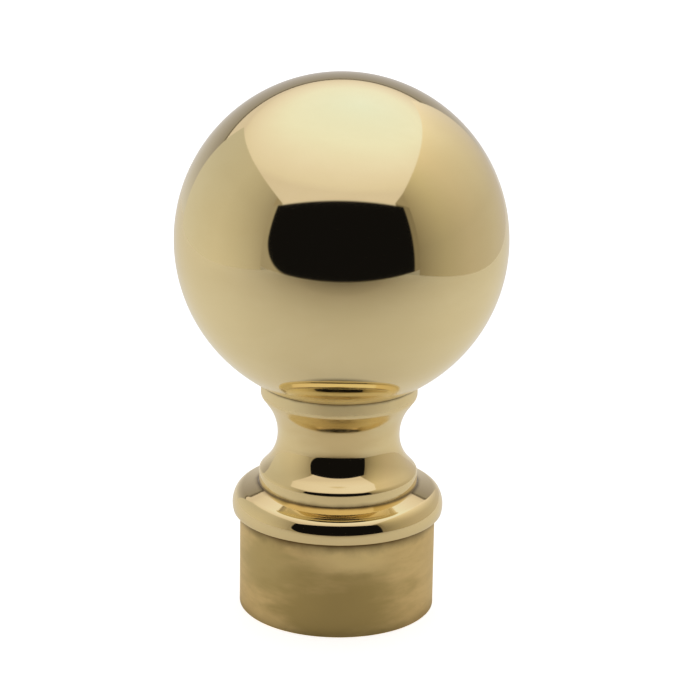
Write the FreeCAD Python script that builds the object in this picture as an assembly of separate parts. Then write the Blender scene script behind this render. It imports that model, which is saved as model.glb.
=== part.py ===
import FreeCAD, Part
import math
import os

# A ball finial that closes the end of a round brass curtain pole. It is one hollow casting, turned
# and polished outside: a spigot that slides into the pole, a beaded collar that stops against the
# pole's end, a waisted neck and a ball. Its core came out through the spigot, which stays open.
# The origin is on the axis, in the plane of the collar's underside, where the pole's end comes.
# +Z runs along the axis from the spigot to the ball. Sizes are in millimetres, angles in degrees.

# Pole that the finial fits
POLE_OUTER_D = 38.1
POLE_WALL = 1.27
SPIGOT_CLEARANCE = 0.13

# Spigot, below the origin
SPIGOT_LENGTH = 18.0
SPIGOT_WALL = 2.9
SPIGOT_CHAMFER = 0.2

# Collar: a bead with a full belly, a tighter crown over it, and a straight ledge up to the neck
SHOULDER_INSET = 0.19
SHOULDER_EDGE_R = 0.2
BELLY_R = 4.2
CROWN_R = 2.4
CROWN_START = 30.0
CROWN_END = 73.0
COLLAR_LEDGE = 4.75
GROOVE_R = 0.2

# Neck: a foot inside the collar's ledge, a flange, and between them a hollow curve with its waist,
# which runs out straight to the foot and to the flange at these angles from the axis
FOOT_TOP = 7.75
FOOT_SLOPE = 43.0
FOOT_EDGE_R = 1.2
WAIST_DEPTH = 3.3
WAIST_WALL = 3.5
LOWER_CURVE_RISE = 6.75
UPPER_CURVE_RISE = 7.35
FLANGE_SLOPE = 36.0
FLANGE_REACH = 3.05
FLANGE_RIM = 2.53
FLANGE_EDGE_R = 1.2

# Ball, which sits in the flange's rim
BALL_D = 59.0
BALL_WALL = 3.0
CREASE_R = 0.3

# Core: its bore in the spigot ends a step above the shoulder, and a cone leads to the neck
CORE_STEP = 1.0
CORE_EDGE_R = 1.5
MOUTH_CHAMFER = 0.5

CUT_PAST = 1.0
SAME_PLACE = 0.001
AXIS = FreeCAD.Vector(0, 0, 1)
ORIGIN = FreeCAD.Vector(0, 0, 0)

# Radii of the half section, from the pole inwards
collar_r = POLE_OUTER_D / 2
spigot_r = collar_r - POLE_WALL - SPIGOT_CLEARANCE
spigot_bore_r = spigot_r - SPIGOT_WALL
foot_r = collar_r - COLLAR_LEDGE
waist_r = foot_r - WAIST_DEPTH
neck_bore_r = waist_r - WAIST_WALL
flange_r = waist_r + FLANGE_REACH
ball_r = BALL_D / 2

# Heights of the half section, from the shoulder upwards
waist_height = FOOT_TOP + LOWER_CURVE_RISE
flange_height = waist_height + UPPER_CURVE_RISE
crease_height = flange_height + FLANGE_RIM
ball_height = crease_height + math.sqrt(ball_r ** 2 - flange_r ** 2)


def point(radius, height):
    return FreeCAD.Vector(radius, 0, height)


def on_circle(centre, radius, angle):
    """Point of the half section on a circle, with the angle counted up from straight outwards."""
    return centre + point(radius * math.cos(math.radians(angle)), radius * math.sin(math.radians(angle)))


def angle_at(centre, radius, out):
    """Angle, upwards, at which a circle of the half section is this far from the finial's axis."""
    return math.degrees(math.acos((out - centre.x) / radius))


def line(start, end):
    return Part.LineSegment(start, end).toShape()


def arc(centre, radius, first, last):
    """Arc of the half section between two angles."""
    middle = on_circle(centre, radius, (first + last) / 2)
    return Part.Arc(on_circle(centre, radius, first), middle, on_circle(centre, radius, last)).toShape()


def hollow_curve(waist, end, slope):
    """Arc that leaves the waist along the axis, and the straight run at a slope that takes it to an edge."""
    rise = end.z - waist.z
    depth = end.x - waist.x
    across = math.sin(math.radians(slope))
    along = math.cos(math.radians(slope))
    radius = (abs(rise) * across - depth * along) / (1 - along)
    centre = waist + point(radius, 0)
    last = 180 - math.copysign(slope, rise)
    return arc(centre, radius, 180, last), line(on_circle(centre, radius, last), end)


def turned(edges):
    """Solid that the closed half section makes when it turns round the axis."""
    return Part.Face(Part.Wire(edges)).revolve(ORIGIN, AXIS, 360)


def rounded(solid, radius, *places):
    """Solid with the ring edges at these places of its section rounded."""
    rings = []
    for place in places:
        for edge in solid.Edges:
            if edge.Degenerated or not isinstance(edge.Curve, Part.Circle):
                continue
            off = point(edge.Curve.Radius, edge.Curve.Center.z) - place
            if off.Length < SAME_PLACE:
                rings.append(edge)
    return solid.makeFillet(radius, rings)


def outer_form():
    """Finial before it is hollow, with its section drawn from the spigot's end up to the ball."""
    end_centre = point(0, -SPIGOT_LENGTH)
    end_edge = point(spigot_r - SPIGOT_CHAMFER, -SPIGOT_LENGTH)
    spigot_edge = point(spigot_r, SPIGOT_CHAMFER - SPIGOT_LENGTH)
    spigot_root = point(spigot_r, 0)

    # The belly's centre is above the shoulder, so that its widest ring is the pole's diameter
    belly_start = -math.degrees(math.acos(1 - SHOULDER_INSET / BELLY_R))
    belly_rise = BELLY_R * math.sin(math.radians(-belly_start))
    belly_centre = point(collar_r - BELLY_R, belly_rise)
    shoulder_edge = on_circle(belly_centre, BELLY_R, belly_start)
    crown_centre = on_circle(belly_centre, BELLY_R - CROWN_R, CROWN_START)
    ledge_start = on_circle(crown_centre, CROWN_R, CROWN_END)
    ledge_rise = (ledge_start.x - foot_r) / math.tan(math.radians(CROWN_END))
    foot_root = point(foot_r, ledge_start.z + ledge_rise)

    foot_edge = point(foot_r, FOOT_TOP)
    waist = point(waist_r, waist_height)
    flange_edge = point(flange_r, flange_height)
    ball_centre = point(0, ball_height)
    ball_start = -angle_at(ball_centre, ball_r, flange_r)
    crease = on_circle(ball_centre, ball_r, ball_start)
    ball_top = on_circle(ball_centre, ball_r, 90)

    form = turned([
        line(end_centre, end_edge),
        line(end_edge, spigot_edge),
        line(spigot_edge, spigot_root),
        line(spigot_root, shoulder_edge),
        arc(belly_centre, BELLY_R, belly_start, CROWN_START),
        arc(crown_centre, CROWN_R, CROWN_START, CROWN_END),
        line(ledge_start, foot_root),
        line(foot_root, foot_edge),
        *reversed(hollow_curve(waist, foot_edge, FOOT_SLOPE)),
        *hollow_curve(waist, flange_edge, FLANGE_SLOPE),
        line(flange_edge, crease),
        arc(ball_centre, ball_r, ball_start, 90),
        line(ball_top, end_centre),
    ])
    form = rounded(form, SHOULDER_EDGE_R, shoulder_edge)
    form = rounded(form, GROOVE_R, foot_root)
    form = rounded(form, FOOT_EDGE_R, foot_edge)
    form = rounded(form, FLANGE_EDGE_R, flange_edge)
    return rounded(form, CREASE_R, crease)


def core():
    """Hollow of the casting: the spigot's bore, a cone, the neck's bore and the ball's inside."""
    below = point(0, -SPIGOT_LENGTH - CUT_PAST)
    mouth = point(spigot_bore_r + MOUTH_CHAMFER + CUT_PAST, -SPIGOT_LENGTH - CUT_PAST)
    bore_start = point(spigot_bore_r, MOUTH_CHAMFER - SPIGOT_LENGTH)
    cone_start = point(spigot_bore_r, CORE_STEP)
    cone_end = point(neck_bore_r, CORE_STEP + spigot_bore_r - neck_bore_r)
    ball_centre = point(0, ball_height)
    inside_r = ball_r - BALL_WALL
    inside_start = -angle_at(ball_centre, inside_r, neck_bore_r)
    inside_edge = on_circle(ball_centre, inside_r, inside_start)
    inside_top = on_circle(ball_centre, inside_r, 90)

    form = turned([
        line(below, mouth),
        line(mouth, bore_start),
        line(bore_start, cone_start),
        line(cone_start, cone_end),
        line(cone_end, inside_edge),
        arc(ball_centre, inside_r, inside_start, 90),
        line(inside_top, below),
    ])
    return rounded(form, CORE_EDGE_R, cone_start, cone_end, inside_edge)


os.makedirs("parts", exist_ok=True)
finial = outer_form().cut(core())
finial.exportStep("parts/finial.step")
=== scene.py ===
import math
from collections import namedtuple

import bmesh
import bpy
from bpy.props import FloatProperty, FloatVectorProperty, PointerProperty
from mathutils import Matrix, Vector


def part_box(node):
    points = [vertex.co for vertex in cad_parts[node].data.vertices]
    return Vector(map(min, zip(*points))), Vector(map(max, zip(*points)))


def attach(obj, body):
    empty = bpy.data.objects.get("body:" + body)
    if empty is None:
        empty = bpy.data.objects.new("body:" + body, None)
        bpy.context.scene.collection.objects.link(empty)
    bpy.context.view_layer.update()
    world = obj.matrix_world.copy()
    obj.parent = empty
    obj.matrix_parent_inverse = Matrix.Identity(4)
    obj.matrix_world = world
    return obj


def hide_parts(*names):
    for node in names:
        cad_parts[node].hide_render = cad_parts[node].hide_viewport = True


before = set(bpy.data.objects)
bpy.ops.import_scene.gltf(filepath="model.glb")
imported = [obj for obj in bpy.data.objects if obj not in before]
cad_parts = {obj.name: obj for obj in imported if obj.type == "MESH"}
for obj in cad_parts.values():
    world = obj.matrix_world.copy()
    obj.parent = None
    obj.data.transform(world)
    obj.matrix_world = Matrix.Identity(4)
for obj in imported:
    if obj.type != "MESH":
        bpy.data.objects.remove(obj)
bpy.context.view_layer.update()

LOW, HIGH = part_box("finial")

bl_info = {
    "name": "Brass Pole Finial",
    "version": (1, 0, 0),
    "blender": (4, 5, 0),
    "location": "3D View > Sidebar > Finial",
    "description": "Dresses the packed ball finial in brass and sets up the light tent it stands in",
    "category": "Add Mesh",
}

# Facets of a full turn, and the degrees that one facet of an arc takes
ROUND_STEPS = 256
BALL_STEP = 1.5
CURVE_STEP = 2.0
EDGE_STEP = 6.0
CORE_STEP = 5.0

# A straight run has a short facet at each end, so that its shading stays flat: its length, and the
# largest share of the run that it takes
HOLD = 0.00006
HOLD_SHARE = 0.25

# Bevels: the facets and the width on the spigot's chamfer, and the facets and the share of the
# corner's radius in the core
END_FACETS = 2
END_BEVEL = HOLD / 2
CORE_FACETS = 4
CORE_BEVEL = 0.7

# Points that count as one place, points that merge, and the angle from which an edge is drawn sharp
SAME_PLACE = 0.000002
MERGED = 0.0000002
CREASE = math.radians(25)

# Order of the casting's three materials
POLISHED, SATIN, CAST = range(3)


# Properties

def length(name, description, default):
    return FloatProperty(name=name, description=description, default=default, min=0, unit="LENGTH",
                         precision=5)


def share(name, description, default):
    return FloatProperty(name=name, description=description, default=default, min=0, max=1, subtype="FACTOR")


def angle(name, description, degrees):
    return FloatProperty(name=name, description=description, default=math.radians(degrees), subtype="ANGLE",
                         unit="ROTATION")


def colour(name, description, default):
    return FloatVectorProperty(name=name, description=description, default=default, min=0, max=2,
                               size=3, subtype="COLOR")


class FinialSizes(bpy.types.PropertyGroup):
    """Lengths of the finial's section."""

    ball_radius: length("Ball radius", "Outside of the ball", HIGH[0])
    top: length("Top", "Height of the ball's top above the collar's shoulder", HIGH[2])
    spigot_length: length("Spigot length", "From the shoulder to the spigot's end", -LOW[2])
    spigot_radius: length("Spigot radius", "Outside of the part that slides into the pole", 0.01765)
    bore_radius: length("Bore radius", "Hollow of the spigot", 0.01475)
    end_chamfer: length("End chamfer", "Broken edge of the spigot's end", 0.0002)
    mouth_chamfer: length("Mouth chamfer", "Broken edge of the bore", 0.0005)
    collar_radius: length("Collar radius", "Widest ring of the collar, which is the pole's radius", 0.01905)
    shoulder_inset: length("Shoulder inset", "How far the belly's foot lies inside the widest ring", 0.00019)
    shoulder_edge: length("Shoulder edge", "Radius of the shoulder's polished rim", 0.0002)
    belly_radius: length("Belly radius", "Lower curve of the collar's bead", 0.0042)
    crown_radius: length("Crown radius", "Upper curve of the collar's bead", 0.0024)
    crown_start: angle("Crown start", "Where the crown takes over from the belly", 30)
    crown_end: angle("Crown end", "Where the crown gives way to the straight ledge", 73)
    groove: length("Groove", "Hollow round between the ledge and the neck's foot", 0.0002)
    foot_radius: length("Foot radius", "Foot of the neck", 0.0143)
    foot_top: length("Foot top", "Height of the foot's rim", 0.00775)
    foot_slope: angle("Foot slope", "Where the hollow gives way to a straight run onto the foot", 43)
    foot_edge: length("Foot edge", "Radius of the foot's rim", 0.0012)
    waist_radius: length("Waist radius", "Narrowest ring of the neck", 0.011)
    waist_height: length("Waist height", "Height of the narrowest ring", 0.0145)
    flange_radius: length("Flange radius", "Rim that carries the ball", 0.01405)
    flange_height: length("Flange height", "Height of the rim's lower edge", 0.02185)
    flange_slope: angle("Flange slope", "Where the hollow gives way to a straight run out to the flange", 36)
    flange_edge: length("Flange edge", "Radius of the rim's lower edge", 0.0012)
    crease: length("Crease", "Hollow round between the rim and the ball", 0.0003)
    ball_wall: length("Ball wall", "Thickness of the ball", 0.003)
    neck_bore: length("Neck bore", "Radius of the hollow through the neck", 0.0075)
    bore_step: length("Bore step", "How far the spigot's bore runs past the shoulder", 0.001)
    core_edge: length("Core edge", "Radius of the core's corners", 0.0015)


class FinialFinish(bpy.types.PropertyGroup):
    """Colours and gloss of the brass."""

    polished: colour("Polished brass", "Buffed outside of the finial", (0.9, 0.78, 0.46))
    polished_dull: colour("Polished brass, dull", "Faint cloudiness of the buffed face", (0.88, 0.755, 0.435))
    satin: colour("Satin brass", "Turned face of the spigot", (0.84, 0.655, 0.31))
    satin_dull: colour("Satin brass, dull", "Handling marks on the spigot", (0.77, 0.59, 0.27))
    # Darker patch low on the spigot's front: partly a stain and partly painted shade, darker towards the
    # bottom
    stained_and_painted_shade: colour("Stained brass", "Patch on the spigot's front", (0.53, 0.405, 0.16))
    hand_stain: colour("Hand stain", "Patch on the spigot's left", (0.63, 0.5, 0.22))
    # Lighter patch high on the spigot's front: partly wiped brass and partly painted light, lighter towards
    # the top
    wiped_and_painted_light: colour("Wiped brass", "Cleaner patch under the collar", (0.97, 0.78, 0.38))
    neck_tone: colour("Neck tone", "Warmer brass of the neck and the collar", (0.86, 0.71, 0.385))
    # Darker patch on the waist's front, which is painted shade
    waist_painted_shade: colour("Neck stain", "Faint patch on the waist's front", (0.81, 0.65, 0.34))
    # Dark colour in corners: painted shade under the collar, and darker lines in the crease under the ball
    # and the groove at the neck's foot that are partly residue of polish and partly painted shade
    dirt_and_painted_shade: colour("Dirt", "Residue of polish in the corners", (0.11, 0.065, 0.02))
    cast: colour("Cast brass", "Inside, as it came from the core", (0.42, 0.32, 0.16))
    cast_dull: colour("Cast brass, dull", "Oxide inside", (0.2, 0.15, 0.09))
    polished_roughness: share("Polished roughness", "Blur of the buffed face", 0.05)
    satin_roughness: share("Satin roughness", "Blur of the turned face", 0.52)
    cast_roughness: share("Cast roughness", "Blur of the cast face", 0.62)


class FinialStage(bpy.types.PropertyGroup):
    """The light tent, the floor and the camera."""

    half_width: length("Tent half width", "From the finial to the tent's left wall", 0.334)
    ceiling: length("Ceiling", "Height of the tent's lit top above the floor", 0.358)
    front: length("Front", "From the finial to the tent's front with its opening", 0.312)
    back: length("Back", "From the finial to the tent's back", 0.5)
    floor_colour: colour("Floor", "Pale floor that the finial stands on", (0.8, 0.8, 0.8))
    cloth_colour: colour("Cloth", "Pale cloth on the tent's floor", (0.7, 0.644, 0.56))
    eye: FloatVectorProperty(name="Eye", description="Place of the camera", default=(0, -0.45, 0.1721),
                             subtype="TRANSLATION", unit="LENGTH")
    aim: FloatVectorProperty(name="Aim", description="Point in the middle of the picture",
                             default=(0.0018, 0, 0.03), subtype="TRANSLATION", unit="LENGTH")
    roll: FloatProperty(name="Roll", description="Turn of the camera round its line of sight",
                        default=math.radians(0.966), subtype="ANGLE", unit="ROTATION")
    lens: FloatProperty(name="Lens", description="Focal length", default=136.22, min=1, unit="CAMERA")


# Section of the casting

def place(radius, height):
    """Point of the half section, in the plane of the axis and X."""
    return Vector((radius, 0, height))


def on_circle(centre, radius, angle):
    """Point on a circle of the section, with the angle counted up from straight outwards."""
    return centre + radius * place(math.cos(angle), math.sin(angle))


def heading(centre, spot):
    """Angle, counted in the same way, at which a point is seen from a centre."""
    return math.atan2(spot.z - centre.z, spot.x - centre.x)


def hollow_radius(waist, end, slope):
    """Radius of the arc that leaves the waist along the axis and ends in a straight run to an edge."""
    rise = abs(end.z - waist.z)
    return (rise * math.sin(slope) - (end.x - waist.x) * math.cos(slope)) / (1 - math.cos(slope))


class Pen:
    """Draws a stretch of the half section as a chain of edges, and turns it to a skin."""

    def __init__(self, start):
        self.mesh = bmesh.new()
        self.tip = self.mesh.verts.new(start)

    def run(self, end):
        """Straight run to a point, with its holds."""
        start = self.tip.co.copy()
        hold = min(HOLD_SHARE, HOLD / (end - start).length)
        for reach in (hold, 1 - hold, 1):
            made = bmesh.ops.extrude_vert_indiv(self.mesh, verts=[self.tip])
            self.tip = made["verts"][0]
            self.tip.co = start.lerp(end, reach)

    def sweep(self, centre, end, step):
        """Arc round a centre to a point."""
        turn = heading(centre, end) - heading(centre, self.tip.co)
        turn = (turn + math.pi) % math.tau - math.pi
        made = bmesh.ops.spin(self.mesh, geom=[self.tip], cent=centre, axis=(0, -1, 0), angle=turn,
                              steps=max(2, round(abs(turn) / math.radians(step))))
        self.tip = next(part for part in made["geom_last"] if isinstance(part, bmesh.types.BMVert))

    def turn(self, finish):
        """Turns the chain full round the axis and returns the skin that this makes."""
        bmesh.ops.spin(self.mesh, geom=[*self.mesh.verts, *self.mesh.edges], cent=(0, 0, 0), axis=(0, 0, 1),
                       angle=math.tau, steps=ROUND_STEPS, use_merge=True)
        for face in self.mesh.faces:
            face.material_index = finish
        return self.mesh


def ring(mesh, spot):
    """Edges of the ring that a point of the section makes."""
    def on_ring(vert):
        return abs(vert.co.xy.length - spot.x) < SAME_PLACE and abs(vert.co.z - spot.z) < SAME_PLACE
    return [edge for edge in mesh.edges if all(on_ring(vert) for vert in edge.verts)]


def soften(mesh, spot, width, segments):
    """Rounds the ring that a point of the section makes."""
    bmesh.ops.bevel(mesh, geom=ring(mesh, spot), offset=width, offset_type="OFFSET", segments=segments,
                    profile=0.5, affect="EDGES", material=-1, clamp_overlap=False)


def ledge_round(start, slope, wall, edge):
    """Centre of the round between an upright wall and a straight run that comes to it from outside."""
    across = place(-math.sin(slope), math.cos(slope))
    away = edge * place(math.cos(slope), math.sin(slope))
    reach = (wall + edge - start.x - away.x) / across.x
    return start + away + reach * across


def draw_collar(sizes):
    """Pen that has drawn the collar's rim, belly, crown and ledge, and the radius where the rim starts."""
    belly_angle = -math.acos(1 - sizes.shoulder_inset / sizes.belly_radius)
    belly = place(sizes.collar_radius - sizes.belly_radius, -sizes.belly_radius * math.sin(belly_angle))
    rim_reach = sizes.belly_radius - sizes.shoulder_edge
    rim_rise = sizes.shoulder_edge - belly.z
    rim = place(belly.x + math.sqrt(rim_reach ** 2 - rim_rise ** 2), sizes.shoulder_edge)
    pen = Pen(place(rim.x, 0))
    pen.sweep(rim, on_circle(rim, sizes.shoulder_edge, heading(belly, rim)), EDGE_STEP)

    crown = on_circle(belly, sizes.belly_radius - sizes.crown_radius, sizes.crown_start)
    pen.sweep(belly, on_circle(belly, sizes.belly_radius, sizes.crown_start), CURVE_STEP)
    ledge_start = on_circle(crown, sizes.crown_radius, sizes.crown_end)
    pen.sweep(crown, ledge_start, CURVE_STEP)
    groove = ledge_round(ledge_start, sizes.crown_end, sizes.foot_radius, sizes.groove)
    pen.run(on_circle(groove, sizes.groove, sizes.crown_end + math.pi))
    pen.sweep(groove, groove - place(sizes.groove, 0), EDGE_STEP)
    return pen, rim.x


def draw_neck(pen, sizes):
    """Foot, hollow and flange, from the groove at the foot up to the flange's rim."""
    waist = place(sizes.waist_radius, sizes.waist_height)
    foot_edge = place(sizes.foot_radius, sizes.foot_top)
    foot = foot_edge - place(sizes.foot_edge, sizes.foot_edge * math.tan(sizes.foot_slope / 2))
    pen.run(foot + place(sizes.foot_edge, 0))
    pen.sweep(foot, on_circle(foot, sizes.foot_edge, sizes.foot_slope), EDGE_STEP)
    reach = hollow_radius(waist, foot_edge, sizes.foot_slope)
    lower = waist + place(reach, 0)
    pen.run(on_circle(lower, reach, math.pi + sizes.foot_slope))
    pen.sweep(lower, waist, CURVE_STEP)

    flange_edge = place(sizes.flange_radius, sizes.flange_height)
    reach = hollow_radius(waist, flange_edge, sizes.flange_slope)
    upper = waist + place(reach, 0)
    pen.sweep(upper, on_circle(upper, reach, math.pi - sizes.flange_slope), CURVE_STEP)
    flange = flange_edge + place(-sizes.flange_edge, sizes.flange_edge * math.tan(sizes.flange_slope / 2))
    pen.run(on_circle(flange, sizes.flange_edge, -sizes.flange_slope))
    pen.sweep(flange, flange + place(sizes.flange_edge, 0), EDGE_STEP)


def draw_ball(pen, sizes):
    """Crease over the flange's rim, and the ball up to its top."""
    ball = place(0, sizes.top - sizes.ball_radius)
    crease_out = sizes.flange_radius + sizes.crease
    crease_drop = math.sqrt((sizes.ball_radius + sizes.crease) ** 2 - crease_out ** 2)
    crease = place(crease_out, ball.z - crease_drop)
    pen.run(crease - place(sizes.crease, 0))
    pen.sweep(crease, on_circle(crease, sizes.crease, heading(crease, ball)), EDGE_STEP)
    pen.sweep(ball, ball + place(0, sizes.ball_radius), BALL_STEP)


def polished_skin(sizes):
    """Collar, neck and ball, from the shoulder's rim to the top, and the radius where the rim starts."""
    pen, rim = draw_collar(sizes)
    draw_neck(pen, sizes)
    draw_ball(pen, sizes)
    return pen.turn(POLISHED), rim


def satin_skin(sizes, rim):
    """Turned faces: the spigot's end and side, and the shoulder."""
    mouth = place(sizes.bore_radius + sizes.mouth_chamfer, -sizes.spigot_length)
    end = place(sizes.spigot_radius - sizes.end_chamfer, -sizes.spigot_length)
    side = place(sizes.spigot_radius, sizes.end_chamfer - sizes.spigot_length)
    pen = Pen(mouth)
    for spot in (end, side, place(sizes.spigot_radius, 0), place(rim, 0)):
        pen.run(spot)
    mesh = pen.turn(SATIN)
    for corner in (end, side):
        soften(mesh, corner, END_BEVEL, END_FACETS)
    return mesh


def core_skin(sizes):
    """Inside of the ball, the neck's bore, its cone and the spigot's bore, down to the mouth."""
    ball = place(0, sizes.top - sizes.ball_radius)
    inside = sizes.ball_radius - sizes.ball_wall
    neck_top = on_circle(ball, inside, -math.acos(sizes.neck_bore / inside))
    cone_end = place(sizes.neck_bore, sizes.bore_step + sizes.bore_radius - sizes.neck_bore)
    cone_start = place(sizes.bore_radius, sizes.bore_step)
    bore_end = place(sizes.bore_radius, sizes.mouth_chamfer - sizes.spigot_length)
    mouth = place(sizes.bore_radius + sizes.mouth_chamfer, -sizes.spigot_length)
    pen = Pen(ball + place(0, inside))
    pen.sweep(ball, neck_top, CORE_STEP)
    for spot in (cone_end, cone_start, bore_end, mouth):
        pen.run(spot)
    mesh = pen.turn(CAST)
    for corner in (neck_top, cone_end, cone_start):
        soften(mesh, corner, CORE_BEVEL * sizes.core_edge, CORE_FACETS)
    return mesh


def make_piece(name, mesh, materials):
    """Object at the origin with the mesh in place."""
    data = bpy.data.meshes.new(name)
    mesh.to_mesh(data)
    mesh.free()
    for material in materials:
        data.materials.append(material)
    piece = bpy.data.objects.new(name, data)
    bpy.context.scene.collection.objects.link(piece)
    return piece


def casting_mesh(sizes):
    """The whole hollow casting as one closed skin."""
    polished, rim = polished_skin(sizes)
    mesh = bmesh.new()
    for skin in (polished, satin_skin(sizes, rim), core_skin(sizes)):
        stretch = bpy.data.meshes.new("stretch")
        skin.to_mesh(stretch)
        skin.free()
        mesh.from_mesh(stretch)
        bpy.data.meshes.remove(stretch)
    bmesh.ops.remove_doubles(mesh, verts=mesh.verts, dist=MERGED)
    bmesh.ops.recalc_face_normals(mesh, faces=mesh.faces)
    for face in mesh.faces:
        face.smooth = True
    for edge in mesh.edges:
        edge.smooth = edge.calc_face_angle(0) < CREASE
    return mesh


# Nodes

FLOAT, COLOUR, VECTOR = "NodeSocketFloat", "NodeSocketColor", "NodeSocketVector"

# Most of a noise lies between these two values
NOISE_RANGE = (0.25, 0.75)


def opaque(tint):
    """Colour with full alpha, as a colour socket takes it."""
    return (*tint, 1)


def new_material(name):
    """Material with nodes, and its tree."""
    material = bpy.data.materials.new(name)
    material.use_nodes = True
    return material, material.node_tree


def node(tree, kind, inputs=None, **settings):
    """Adds a node with its settings, and with a value or a link for each input named."""
    made = tree.nodes.new(kind)
    for name, value in settings.items():
        setattr(made, name, value)
    for name, value in (inputs or {}).items():
        if isinstance(value, bpy.types.NodeSocket):
            tree.links.new(value, made.inputs[name])
        else:
            made.inputs[name].default_value = value
    return made


def maths(tree, operation, *values):
    return node(tree, "ShaderNodeMath", dict(enumerate(values)), operation=operation).outputs[0]


def product(tree, total, *factors):
    """All the values multiplied, in order."""
    for factor in factors:
        total = maths(tree, "MULTIPLY", total, factor)
    return total


def largest(tree, most, *others):
    """The largest of the values."""
    for value in others:
        most = maths(tree, "MAXIMUM", most, value)
    return most


def vector_maths(tree, operation, *values):
    """Vector that an operation makes, or its number where it measures."""
    made = node(tree, "ShaderNodeVectorMath", dict(enumerate(values)), operation=operation)
    return made.outputs["Value" if operation in ("LENGTH", "DISTANCE") else "Vector"]


def object_place(tree):
    return node(tree, "ShaderNodeTexCoord").outputs["Object"]


def parts(tree, spot):
    """X, Y and Z of a place."""
    return node(tree, "ShaderNodeSeparateXYZ", {0: spot}).outputs


def joined(tree, x=0.0, y=0.0, z=0.0):
    """Place with these three parts."""
    return node(tree, "ShaderNodeCombineXYZ", {0: x, 1: y, 2: z}).outputs[0]


def from_axis(tree, spot):
    """Distance of a place from the finial's axis."""
    return vector_maths(tree, "LENGTH", vector_maths(tree, "MULTIPLY", spot, (1, 1, 0)))


def drawn_out(tree, spot, factor):
    """Place with its height scaled, which draws a pattern out round the axis."""
    return vector_maths(tree, "MULTIPLY", spot, joined(tree, 1, 1, factor))


def between(tree, value, low, high, to_low=0.0, to_high=1.0, shape="LINEAR"):
    """The value's share of the way from low to high, spread over a new range."""
    return node(tree, "ShaderNodeMapRange", {0: value, 1: low, 2: high, 3: to_low, 4: to_high},
                interpolation_type=shape).outputs[0]


def noise(tree, spot, scale, detail, roughness=0.5, distortion=0.0):
    return node(tree, "ShaderNodeTexNoise", {"Vector": spot, "Scale": scale, "Detail": detail,
                "Roughness": roughness, "Distortion": distortion}).outputs[0]


def blend(tree, factor, first, second):
    """Colour between two others."""
    made = node(tree, "ShaderNodeMix", {"Factor": factor}, data_type="RGBA")
    for socket, value in ((made.inputs[6], first), (made.inputs[7], second)):
        if isinstance(value, bpy.types.NodeSocket):
            tree.links.new(value, socket)
        else:
            socket.default_value = value
    return made.outputs[2]


def ramp(tree, value, stops):
    """Colour ramp with the given places and colours."""
    made = node(tree, "ShaderNodeValToRGB", {0: value})
    elements = made.color_ramp.elements
    while len(elements) < len(stops):
        elements.new(1)
    for element, (reach, tint) in zip(elements, stops):
        element.position = reach
        element.color = opaque(tint)
    return made.outputs[0]


def new_group(name, inputs, outputs):
    """Shader node group with its sockets: returns its tree, its inputs and its end node's sockets."""
    tree = bpy.data.node_groups.new(name, "ShaderNodeTree")
    for label, kind, value in inputs:
        tree.interface.new_socket(label, in_out="INPUT", socket_type=kind).default_value = value
    for label, kind in outputs:
        tree.interface.new_socket(label, in_out="OUTPUT", socket_type=kind)
    return tree, tree.nodes.new("NodeGroupInput").outputs, tree.nodes.new("NodeGroupOutput").inputs


def use_group(tree, group, **inputs):
    """Places a node group with its own values; an underscore stands for a space in an input's name."""
    named = {name.replace("_", " "): value for name, value in inputs.items()}
    return node(tree, "ShaderNodeGroup", named, node_tree=group).outputs


# Effects that the three finishes share

# How flat the patches are in which the turning marks fade
BREAK_FLATNESS = 4

# Noise value at which a cloud of tarnish ends, how far its reach brings that down, and its fade on
# both sides of the edge
CLOUD_EDGE, CLOUD_GROWTH = 0.75, 0.5
FADE_BEFORE, FADE_AFTER = 0.16, 0.12

# Specks among the clouds: how much finer they are, and the noise values of their edge
SPECK_FINENESS = 5
SPECK_EDGE = (0.62, 0.74)

# How much the outline of a corner's painted shade and dirt, and of its missed polish, wanders, as shares of
# its reach
CORNER_RAGGED = (0.7, 1.3)

# Patches of stain and of painted light and shade: how flat they and their streaks are, how much their outline
# wanders, and where they fade
PATCH_FLATNESS, STREAK_FLATNESS = 1.7, 3
PATCH_RAGGED = (-0.25, 0.25)
PATCH_FADE = (0.35, 1.05)


def turning_group():
    """Fine grooves that run round the axis, as a lathe tool and a buffing mop leave them."""
    tree, given, out = new_group(
        "turning_marks",
        [("Grooves per metre", FLOAT, 9000.0), ("Breaks", FLOAT, 0.3)],
        [("Height", FLOAT)])
    spot = object_place(tree)
    section = joined(tree, x=from_axis(tree, spot), z=parts(tree, spot)[2])
    grooves = noise(tree, section, given["Grooves per metre"], detail=2, roughness=0.6)
    broken = noise(tree, drawn_out(tree, spot, BREAK_FLATNESS), scale=160, detail=3)
    kept = maths(tree, "SUBTRACT", 1, product(tree, given["Breaks"], broken))
    tree.links.new(product(tree, grooves, kept), out["Height"])
    return tree


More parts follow.
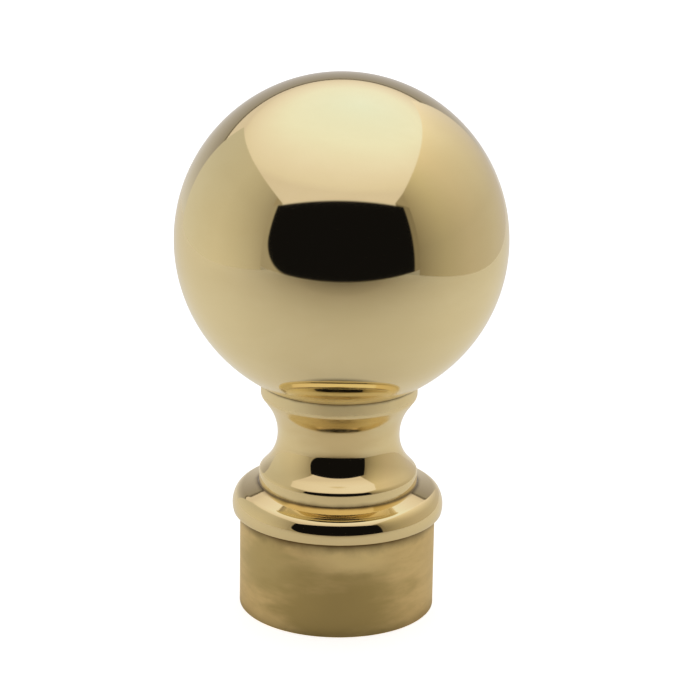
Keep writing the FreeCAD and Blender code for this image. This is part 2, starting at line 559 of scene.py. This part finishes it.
def tarnish_group():
    """Cloudy change from clean metal to dull metal, drawn out round the axis, with finer specks."""
    tree, given, out = new_group(
        "tarnish",
        [("Clean", COLOUR, (1, 1, 1, 1)), ("Dull", COLOUR, (0.5, 0.5, 0.5, 1)), ("Scale", FLOAT, 60.0),
         ("Reach", FLOAT, 0.5), ("Specks", FLOAT, 0.0), ("Flatness", FLOAT, 2.2)],
        [("Color", COLOUR)])
    spot = drawn_out(tree, object_place(tree), given["Flatness"])
    clouds = noise(tree, spot, given["Scale"], detail=6, roughness=0.62, distortion=0.4)
    edge = maths(tree, "SUBTRACT", CLOUD_EDGE, product(tree, given["Reach"], CLOUD_GROWTH))
    start, end = maths(tree, "SUBTRACT", edge, FADE_BEFORE), maths(tree, "ADD", edge, FADE_AFTER)
    mask = between(tree, clouds, start, end, shape="SMOOTHSTEP")
    fine = noise(tree, spot, product(tree, given["Scale"], SPECK_FINENESS), detail=3)
    specks = product(tree, between(tree, fine, *SPECK_EDGE), given["Specks"])
    total = maths(tree, "ADD", mask, specks)
    tree.links.new(blend(tree, total, given["Clean"], given["Dull"]), out["Color"])
    return tree


def handling_group():
    """Roughness that wanders a little from place to place, as wiping and handling leave it."""
    tree, given, out = new_group(
        "handling",
        [("Roughness", FLOAT, 0.1), ("Spread", FLOAT, 0.2), ("Scale", FLOAT, 90.0)],
        [("Roughness", FLOAT)])
    clouds = noise(tree, object_place(tree), given["Scale"], detail=4, roughness=0.6, distortion=0.2)
    swing = product(tree, maths(tree, "SUBTRACT", clouds, 0.5), given["Spread"])
    wear = product(tree, given["Roughness"], maths(tree, "ADD", 1, swing))
    tree.links.new(wear, out["Roughness"])
    return tree


def crevice_group():
    """1 in a ring-shaped corner of the section and 0 away from it, where painted shade and dirt darken the
    colour and the mop missed some polish.
    """
    tree, given, out = new_group(
        "crevice",
        [("Radius", FLOAT, 0.01), ("Height", FLOAT, 0.0), ("Reach", FLOAT, 0.001)],
        [("Mask", FLOAT)])
    spot = object_place(tree)
    outwards = maths(tree, "SUBTRACT", from_axis(tree, spot), given["Radius"])
    upwards = maths(tree, "SUBTRACT", parts(tree, spot)[2], given["Height"])
    gap = vector_maths(tree, "LENGTH", joined(tree, outwards, upwards))
    ragged = between(tree, noise(tree, spot, scale=350, detail=3), *NOISE_RANGE, *CORNER_RAGGED)
    near = between(tree, gap, 0, product(tree, given["Reach"], ragged), 1, 0)
    tree.links.new(product(tree, near, near), out["Mask"])
    return tree


def stain_and_painted_light_group():
    """1 at the middle of a patch on one side of the finial and 0 outside it: a stain that hands or polish
    left, or painted light and shade.
    """
    tree, given, out = new_group(
        "stain",
        [("Middle", VECTOR, (0, 0, 0)), ("Reach", FLOAT, 0.01)],
        [("Mask", FLOAT)])
    spot = object_place(tree)
    off = drawn_out(tree, vector_maths(tree, "SUBTRACT", spot, given["Middle"]), PATCH_FLATNESS)
    gap = maths(tree, "DIVIDE", vector_maths(tree, "LENGTH", off), given["Reach"])
    streaks = noise(tree, drawn_out(tree, spot, STREAK_FLATNESS), scale=130, detail=4)
    ragged = maths(tree, "ADD", gap, between(tree, streaks, *NOISE_RANGE, *PATCH_RAGGED))
    tree.links.new(between(tree, ragged, *PATCH_FADE, 1, 0, shape="SMOOTHSTEP"), out["Mask"])
    return tree


# Finishes of the casting

# The node groups of the effects, a ring-shaped corner of the section, and a patch of stain or of painted
# light and shade on one side
Groups = namedtuple("Groups", "turning tarnish handling crevice stain")
Corner = namedtuple("Corner", "radius height reach")
Stain = namedtuple("Stain", "middle reach tint")

# Heights of the groove at the neck's foot, of the painted shade under the collar and of the painted shade on
# the waist's front
FOOT_GROOVE = 0.0053
COLLAR_SHADE = -0.00045
WAIST_PATCH = 0.0175

# Roughness that the corner under the ball keeps, because the mop doesn't reach into it
UNBUFFED = 0.35


def corner_mask(tree, groups, corner):
    """Mask round a corner of the section: of the painted shade and dirt in the colour, or of the missed
    polish in the roughness.
    """
    placed = use_group(tree, groups.crevice, Radius=corner.radius, Height=corner.height, Reach=corner.reach)
    return placed["Mask"]


def brass(name, groups, clean, dull, clouds, roughness, spread, grooves, depth,
          stains_and_painted_light=(), dirt_and_painted_shade=(), corners=(), unbuffed=()):
    """Metal with tarnish, stains, painted light and shade, and dirt in its colour, wear in its roughness and
    grooves in its relief.

    Clouds holds the tarnish group's own values, grooves is their number per metre and depth the
    height of their relief. Painted shade and dirt fill the corners, and the mop polished the unbuffed ones
    less.
    height of their relief. Dirt fills the corners, and the mop polished the unbuffed ones less."""
    material, tree = new_material(name)
    shader = tree.nodes["Principled BSDF"]
    shader.inputs["Metallic"].default_value = 1
    surface = use_group(tree, groups.tarnish, Clean=opaque(clean), Dull=opaque(dull), **clouds)["Color"]
    for stain in stains_and_painted_light:
        marked = use_group(tree, groups.stain, Middle=stain.middle, Reach=stain.reach)["Mask"]
        surface = blend(tree, marked, surface, opaque(stain.tint))
    for corner in corners:
        surface = blend(tree, corner_mask(tree, groups, corner), surface, opaque(dirt_and_painted_shade))
    wear = use_group(tree, groups.handling, Roughness=roughness, Spread=spread, Scale=clouds["Scale"])[0]
    for corner in unbuffed:
        wear = maths(tree, "ADD", wear, product(tree, corner_mask(tree, groups, corner), UNBUFFED))
    marks = use_group(tree, groups.turning, Grooves_per_metre=grooves)
    bump = node(tree, "ShaderNodeBump", {"Height": marks["Height"], "Distance": depth, "Strength": 1})
    tree.links.new(surface, shader.inputs["Base Color"])
    tree.links.new(wear, shader.inputs["Roughness"])
    tree.links.new(bump.outputs[0], shader.inputs["Normal"])
    return material


def polished_brass(sizes, look, groups):
    """Mirror finish of the collar, the neck and the ball."""
    ball = sizes.top - sizes.ball_radius
    under_ball = ball - math.sqrt(sizes.ball_radius ** 2 - sizes.flange_radius ** 2)
    return brass(
        "polished_brass", groups, look.polished, look.polished_dull,
        clouds=dict(Scale=38, Reach=0.5),
        roughness=look.polished_roughness, spread=0.5, grooves=9000, depth=0.0000002,
        stains_and_painted_light=[Stain(middle=(0, 0, 0), reach=0.06, tint=look.neck_tone),
                # Painted shade on the waist's front
                Stain(middle=(0, -sizes.waist_radius, WAIST_PATCH), reach=0.009, tint=look.waist_painted_shade)],
        # Darker lines in the crease under the ball and the groove at the neck's foot: partly residue of
        # polish and partly painted shade
        dirt_and_painted_shade=look.dirt_and_painted_shade,
        corners=[Corner(sizes.flange_radius, under_ball, reach=0.0006),
                 Corner(sizes.foot_radius, FOOT_GROOVE, reach=0.001)],
        unbuffed=[Corner(sizes.flange_radius, under_ball, reach=0.011)])


def satin_brass(sizes, look, groups):
    """Turned finish of the spigot and the shoulder: a hand stain on its front left, painted shade under the
    collar, and patches on its front that are partly stains and partly painted light and shade, lighter at the
    top and darker towards the bottom.
    """
    out = sizes.spigot_radius
    return brass(
        "satin_brass", groups, look.satin, look.satin_dull,
        clouds=dict(Scale=70, Reach=0.4, Specks=0.8, Flatness=4),
        roughness=look.satin_roughness, spread=0.35, grooves=7000, depth=0.000004,
        stains_and_painted_light=[Stain(middle=(-0.7 * out, -0.7 * out, -0.007), reach=0.012, tint=look.hand_stain),
                # Lighter patch high on the front: partly wiped brass and partly painted light
                Stain(middle=(0.003, -out, -0.003), reach=0.009, tint=look.wiped_and_painted_light),
                # Darker patch low on the front: partly a stain and partly painted shade
                Stain(middle=(0, -out, -0.013), reach=0.018, tint=look.stained_and_painted_shade)],
        # Painted shade under the collar's overhang
        dirt_and_painted_shade=look.dirt_and_painted_shade,
        corners=[Corner(out, COLLAR_SHADE, reach=0.0025)])


def cast_brass(look, groups):
    """Rough inside, as the sand core left it."""
    return brass(
        "cast_brass", groups, look.cast, look.cast_dull,
        clouds=dict(Scale=240, Reach=0.7, Specks=0.6),
        roughness=look.cast_roughness, spread=0.3, grooves=1500, depth=0.0001)


class FINIAL_OT_casting(bpy.types.Operator):
    """Make the hollow brass casting with its polished, satin and cast faces"""

    bl_idname = "finial.casting"
    bl_label = "Brass Casting"

    def execute(self, context):
        sizes = context.scene.finial_sizes
        look = context.scene.finial_finish
        groups = Groups(turning_group(), tarnish_group(), handling_group(), crevice_group(), stain_and_painted_light_group())
        materials = [polished_brass(sizes, look, groups), satin_brass(sizes, look, groups),
                     cast_brass(look, groups)]
        piece = make_piece("finial_casting", casting_mesh(sizes), materials)
        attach(piece, "root")
        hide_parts("finial")
        return {"FINISHED"}


# Stage

# Where the tent's sheets start and how far they run. The left wall, the ceiling, the front and the
# back take their other places from the stage's settings.
OUTER_LEFT, OUTER_WIDTH = -0.62, 1.2
CEILING_DEPTH = 0.96
LEFT_START, LEFT_RUN = -0.25, 0.608
RIGHT_START, RIGHT_RUN = (0.284, -0.225), (-0.094, 0.672)
BACK_WIDTH, BACK_HEIGHT = 1.0, 0.33
FRONT_LEFT, FRONT_WIDTH = -0.5, 1.0

# Half width of the white floor, and how far above it the tent's cloth lies
FLOOR_REACH = 4.0
CLOTH_LIFT = 0.0001

# Middle of the tent's front between the side walls, half its width, and the blur of its corners
FRONT_MIDDLE = -0.025
FRONT_HALF_WIDTH = 0.309
CORNER_BLUR = 0.002

# Dark opening in the tent's front, with its heights counted from the ball's middle: the centre and
# radius of its lower left corner, its right edge at two heights, its top, how fast the top rises
# away from its middle, and the blur of its edge. The cloth turns to the lighter band over the
# opening between the band's two heights.
BALL_LEVEL = HIGH[2] - HIGH[0]
CORNER_X, CORNER_HEIGHT, CORNER_RADIUS = -0.205, 0.096, 0.162
RIGHT_EDGE_HEIGHTS, RIGHT_EDGE = (-0.06, 0.28), (0.35, 0.341)
OPENING_TOP, OPENING_SAG = 0.26, 0.14
OPENING_BLUR = (-0.003, 0.009)
BAND_HEIGHTS = (0.2, 0.21)

# Middle of the ceiling's light, and how far it reaches
CEILING_MIDDLE = (0.04, 0.13, 0.34)
CEILING_REACH = 0.42

# Places on the floor from which the cloth's painted light and shade are measured: the middle of the open
# front, and the finial's foot
FRONT_SPOT = (0, -0.33, LOW[2])
FOOT_SPOT = (0, 0, LOW[2])

# Tints of the tent's sheets; in a list, each has its share of the way along the sheet
CORNER_TINT = (0.35, 0.3, 0.225)
OPENING_TINT = (0.006, 0.0058, 0.007)
LEFT_CLOTH = (0.37, 0.33, 0.27)
RIGHT_CLOTH = (0.24, 0.205, 0.15)
TOP_BAND = (0.76, 0.69, 0.67)
CEILING_TINTS = ((0, (0.93, 1.06, 1.21)), (0.43, (0.95, 1.0, 1.05)), (0.6, (0.925, 0.91, 0.93)),
                 (0.75, (0.885, 0.835, 0.835)), (0.9, (0.835, 0.775, 0.745)), (1, TOP_BAND))
LEFT_TINTS = ((0, LEFT_CLOTH), (0.2, (0.49, 0.446, 0.375)), (0.385, (0.575, 0.53, 0.455)),
              (0.574, (0.63, 0.586, 0.515)), (1, (0.64, 0.61, 0.56)))
RIGHT_TINTS = ((0, RIGHT_CLOTH), (0.25, (0.45, 0.4, 0.305)), (0.42, (0.55, 0.487, 0.405)),
               (0.65, (0.61, 0.562, 0.5)), (1, (0.63, 0.585, 0.565)))
BACK_TINTS = ((0, (0.68, 0.66, 0.66)), (0.35, (0.52, 0.5, 0.52)), (0.75, (0.38, 0.36, 0.38)),
              (0.93, (0.33, 0.31, 0.3)), (0.955, (0.16, 0.14, 0.12)))
# Painted light on the tent's cloth floor, which is no lamp: its glow along the way from the open front
FLOOR_PAINTED_LIGHT = ((0, (0, 0, 0)), (0.2, (0, 0, 0)), (0.4, (0.09, 0.096, 0.1)), (0.5, (0.143, 0.15, 0.16)),
              (0.6, (0.185, 0.195, 0.21)), (0.7, (0.225, 0.237, 0.256)), (1, (0.27, 0.287, 0.31)))

# Scale of the faint unevenness in a cloth, and how dark it gets
CLOTH_CLOUDS = 14
CLOTH_DARKEST = 0.97

# Glow that brings the floor to white in the picture, and the grey of the light from all round
FLOOR_WHITENING = 0.7
SKY = 0.72


def sheet(name, corner, across, up, material, seen=False):
    """Flat sheet of the stage, from one corner along two of its edges."""
    mesh = bmesh.new()
    start = mesh.verts.new(corner)
    made = bmesh.ops.extrude_vert_indiv(mesh, verts=[start])
    bmesh.ops.translate(mesh, vec=Vector(across), verts=made["verts"])
    made = bmesh.ops.extrude_edge_only(mesh, edges=made["edges"])
    moved = [part for part in made["geom"] if isinstance(part, bmesh.types.BMVert)]
    bmesh.ops.translate(mesh, vec=Vector(up), verts=moved)
    made = make_piece(name, mesh, [material])
    made.visible_camera = seen
    return made


def direct_rays(tree):
    """1 for what the camera sees, itself or in metal and glass, and 0 for light that falls on a surface."""
    rays = node(tree, "ShaderNodeLightPath").outputs
    mirrored = largest(tree, rays["Is Glossy Ray"], rays["Is Transmission Ray"])
    return largest(tree, rays["Is Camera Ray"], mirrored)


def front_corners(tree):
    """1 in the corners that the side walls leave at the tent's front, and 0 between the walls."""
    x, y, _ = parts(tree, object_place(tree))
    aside = maths(tree, "ABSOLUTE", maths(tree, "SUBTRACT", x, FRONT_MIDDLE))
    in_front = maths(tree, "SUBTRACT", aside, between(tree, y, 0, 0.01))
    return between(tree, in_front, FRONT_HALF_WIDTH - CORNER_BLUR, FRONT_HALF_WIDTH + CORNER_BLUR)


def ceiling_light(tree):
    """Brightest a little behind the finial, warmer and weaker towards the edges."""
    off = vector_maths(tree, "DISTANCE", object_place(tree), CEILING_MIDDLE)
    tint = ramp(tree, maths(tree, "DIVIDE", off, CEILING_REACH), CEILING_TINTS)
    return blend(tree, front_corners(tree), tint, opaque(CORNER_TINT)), 1.0


def side_light(tree, tints, ends, heights, strengths):
    """Tint that changes from the front end of a wall to its back end, and strength that changes upwards."""
    _, y, z = parts(tree, object_place(tree))
    return ramp(tree, between(tree, y, *ends), tints), between(tree, z, *heights, *strengths)


def left_light(tree):
    return side_light(tree, LEFT_TINTS, ends=(-0.27, 0.2), heights=(0.22, -0.02), strengths=(0.93, 1.09))


def right_light(tree):
    return side_light(tree, RIGHT_TINTS, ends=(-0.24, 0.36), heights=(0.08, 0.34), strengths=(0.96, 1.52))


def back_light(tree):
    """Brightest at the floor, with a dark strip at the top."""
    up = between(tree, parts(tree, object_place(tree))[2], -0.018, 0.312)
    return ramp(tree, up, BACK_TINTS), 1.0


def front_light(tree):
    """Cloth of the tent's front, round the dark opening that has one lower corner well rounded."""
    x, _, z = parts(tree, object_place(tree))
    up = maths(tree, "SUBTRACT", z, BALL_LEVEL)
    beside = largest(tree, maths(tree, "SUBTRACT", CORNER_X, x), 0)
    below = largest(tree, maths(tree, "SUBTRACT", CORNER_HEIGHT, up), 0)
    from_corner = vector_maths(tree, "LENGTH", joined(tree, beside, below))
    past_corner = maths(tree, "SUBTRACT", from_corner, CORNER_RADIUS)
    past_right = maths(tree, "SUBTRACT", x, between(tree, up, *RIGHT_EDGE_HEIGHTS, *RIGHT_EDGE))
    top = maths(tree, "ADD", OPENING_TOP, product(tree, x, x, OPENING_SAG))
    past_top = maths(tree, "SUBTRACT", up, top)
    past = largest(tree, past_corner, past_right, past_top)
    cloth = blend(tree, between(tree, x, -0.3, 0.3), opaque(LEFT_CLOTH), opaque(RIGHT_CLOTH))
    over = maths(tree, "SUBTRACT", between(tree, up, *BAND_HEIGHTS), front_corners(tree))
    cloth = blend(tree, over, cloth, opaque(TOP_BAND))
    return blend(tree, between(tree, past, *OPENING_BLUR), opaque(OPENING_TINT), cloth), 1.0


def glowing(name, make_light):
    """Material that gives out light; make_light adds its nodes and returns a colour and a strength."""
    material, tree = new_material(name)
    tree.nodes.clear()
    tint, strength = make_light(tree)
    light = node(tree, "ShaderNodeEmission", {"Color": tint, "Strength": strength})
    node(tree, "ShaderNodeOutputMaterial", {"Surface": light.outputs[0]})
    return material


def matt_shader(material):
    """The material's shader, set to matt cloth whose own glow isn't sampled as a lamp."""
    shader = material.node_tree.nodes["Principled BSDF"]
    shader.inputs["Roughness"].default_value = 0.9
    shader.inputs["Specular IOR Level"].default_value = 0
    material.cycles.emission_sampling = "NONE"
    return shader


def white_floor(name, tint):
    """Pale matt floor that comes out white in the picture and keeps the finial's shadow."""
    material, tree = new_material(name)
    shader = matt_shader(material)
    clouds = noise(tree, object_place(tree), CLOTH_CLOUDS, detail=3)
    darkest = (CLOTH_DARKEST * part for part in tint)
    tree.links.new(blend(tree, clouds, opaque(darkest), opaque(tint)), shader.inputs["Base Color"])
    shader.inputs["Emission Color"].default_value = (1, 1, 1, 1)
    tree.links.new(product(tree, direct_rays(tree), FLOOR_WHITENING), shader.inputs["Emission Strength"])
    return material


def cloth_with_painted_light(name, tint):
    """Cloth of the tent's floor, seen only in reflections, with painted light and shade: a glow though it is
    no lamp, painted shade at the open front, its corners and the left front, and a painted shadow round the
    finial's foot.
    """
    material, tree = new_material(name)
    shader = matt_shader(material)
    spot = object_place(tree)
    x, y, _ = parts(tree, spot)
    from_front = vector_maths(tree, "DISTANCE", spot, FRONT_SPOT)
    from_finial = vector_maths(tree, "DISTANCE", spot, FOOT_SPOT)
    # Painted shadow of the finial round its foot
    foot_shadow = between(tree, from_finial, 0.0172, 0.0215, to_low=0.45, to_high=1, shape="SMOOTHSTEP")
    # Painted shade in the front corners outside the side walls
    at_corners = between(tree, front_corners(tree), 0, 1, to_low=1, to_high=0.75)
    # Painted shade towards the left front
    to_left = between(tree, x, -0.13, -0.33, to_low=0, to_high=0.05)
    left_front = product(tree, to_left, between(tree, y, -0.03, -0.18))
    # All the painted shade, which darkens both the cloth's colour and its painted glow
    shade = product(tree, foot_shadow, at_corners, maths(tree, "SUBTRACT", 1, left_front))
    # Painted shade towards the open front
    at_front = between(tree, from_front, 0.05, 0.15, to_low=0.75, to_high=1)
    clouds = between(tree, noise(tree, spot, CLOTH_CLOUDS, detail=3), 0, 1, CLOTH_DARKEST, 1)
    matt = vector_maths(tree, "MULTIPLY", product(tree, shade, at_front, clouds), tint)
    # Painted light: a glow that rises away from the open front
    glow = ramp(tree, between(tree, from_front, 0.05, 0.45), FLOOR_PAINTED_LIGHT)
    # Painted light that grows weaker further out from the finial
    far_off = between(tree, from_finial, 0.09, 0.2, to_low=1, to_high=0.82)
    strength = product(tree, shade, far_off)
    tree.links.new(matt, shader.inputs["Base Color"])
    tree.links.new(glow, shader.inputs["Emission Color"])
    tree.links.new(strength, shader.inputs["Emission Strength"])
    return material


class FINIAL_OT_stage(bpy.types.Operator):
    """Set up the floor, the light tent, the world and the camera"""

    bl_idname = "finial.stage"
    bl_label = "Light Tent and Camera"

    def execute(self, context):
        stage = context.scene.finial_stage
        self.add_floor(stage, LOW[2])
        self.add_tent(stage, LOW[2])
        self.set_world(context.scene)
        self.add_camera(context.scene, stage)
        context.scene.view_settings.view_transform = "Standard"
        return {"FINISHED"}

    def add_floor(self, stage, floor):
        sheet("stage_floor", (-FLOOR_REACH, -FLOOR_REACH, floor), (2 * FLOOR_REACH, 0, 0),
              (0, 2 * FLOOR_REACH, 0), white_floor("white_floor", stage.floor_colour), seen=True)

    def add_tent(self, stage, floor):
        """Cloth floor with painted light and shade, three lit walls, a lit ceiling and a front with its dark
        opening.

        Only reflections and the light on the finial meet them."""
        left, front, back = -stage.half_width, -stage.front, stage.back
        wide = (OUTER_WIDTH, 0, 0)
        rise = (0, 0, stage.ceiling)
        # Cloth floor seen only in reflections, with painted light and shade
        base = sheet("stage_tent_floor", (OUTER_LEFT, front, floor + CLOTH_LIFT), wide, (0, back - front, 0),
                     cloth_with_painted_light("tent_cloth", stage.cloth_colour))
        base.visible_shadow = False
        base.visible_diffuse = False
        sheet("stage_ceiling", (OUTER_LEFT, front, floor + stage.ceiling), wide, (0, CEILING_DEPTH, 0),
              glowing("ceiling_light", ceiling_light))
        sheet("stage_left_wall", (left, LEFT_START, floor), (0, LEFT_RUN, 0), rise,
              glowing("left_light", left_light))
        sheet("stage_right_wall", (*RIGHT_START, floor), (*RIGHT_RUN, 0), rise,
              glowing("right_light", right_light))
        sheet("stage_back_wall", (OUTER_LEFT, back, floor), (BACK_WIDTH, 0, 0), (0, 0, BACK_HEIGHT),
              glowing("back_light", back_light))
        sheet("stage_front_wall", (FRONT_LEFT, front, floor), (FRONT_WIDTH, 0, 0), rise,
              glowing("front_light", front_light))

    def set_world(self, scene):
        """Even light from all round, which is white where it is seen."""
        world = bpy.data.worlds.new("studio")
        scene.world = world
        world.use_nodes = True
        tree = world.node_tree
        tree.nodes.clear()
        tint = blend(tree, direct_rays(tree), (SKY, SKY, SKY, 1), (1, 1, 1, 1))
        light = node(tree, "ShaderNodeBackground", {"Color": tint, "Strength": 1.0})
        node(tree, "ShaderNodeOutputWorld", {"Surface": light.outputs[0]})

    def add_camera(self, scene, stage):
        """Camera that looks from the eye to the aim, with its roll."""
        data = bpy.data.cameras.new("camera")
        data.lens = stage.lens
        data.sensor_width = 36
        data.clip_start = 0.01
        data.clip_end = 20
        camera = bpy.data.objects.new("camera", data)
        forward = (stage.aim - stage.eye).normalized()
        right = forward.cross(Vector((0, 0, 1))).normalized()
        up = right.cross(forward)
        turned = Matrix.Rotation(-stage.roll, 3, forward) @ Matrix((right, up, -forward)).transposed()
        camera.matrix_world = Matrix.Translation(stage.eye) @ turned.to_4x4()
        scene.collection.objects.link(camera)
        scene.camera = camera


class FINIAL_PT_sidebar(bpy.types.Panel):
    """Steps and settings of the finial"""

    bl_idname = "FINIAL_PT_sidebar"
    bl_label = "Finial"
    bl_space_type = "VIEW_3D"
    bl_region_type = "UI"
    bl_category = "Finial"

    def draw(self, context):
        layout = self.layout
        for step in (FINIAL_OT_casting, FINIAL_OT_stage):
            layout.operator(step.bl_idname)
        for settings in ("finial_sizes", "finial_finish", "finial_stage"):
            group = getattr(context.scene, settings)
            box = layout.box()
            for name in group.bl_rna.properties.keys():
                if name not in ("rna_type", "name"):
                    box.prop(group, name)


CLASSES = (FinialSizes, FinialFinish, FinialStage, FINIAL_OT_casting, FINIAL_OT_stage, FINIAL_PT_sidebar)


def register():
    for item in CLASSES:
        bpy.utils.register_class(item)
    bpy.types.Scene.finial_sizes = PointerProperty(type=FinialSizes)
    bpy.types.Scene.finial_finish = PointerProperty(type=FinialFinish)
    bpy.types.Scene.finial_stage = PointerProperty(type=FinialStage)


def unregister():
    del bpy.types.Scene.finial_stage
    del bpy.types.Scene.finial_finish
    del bpy.types.Scene.finial_sizes
    for item in reversed(CLASSES):
        bpy.utils.unregister_class(item)


def main():
    register()
    bpy.ops.finial.casting()
    bpy.ops.finial.stage()


if __name__ == "__main__":
    main()
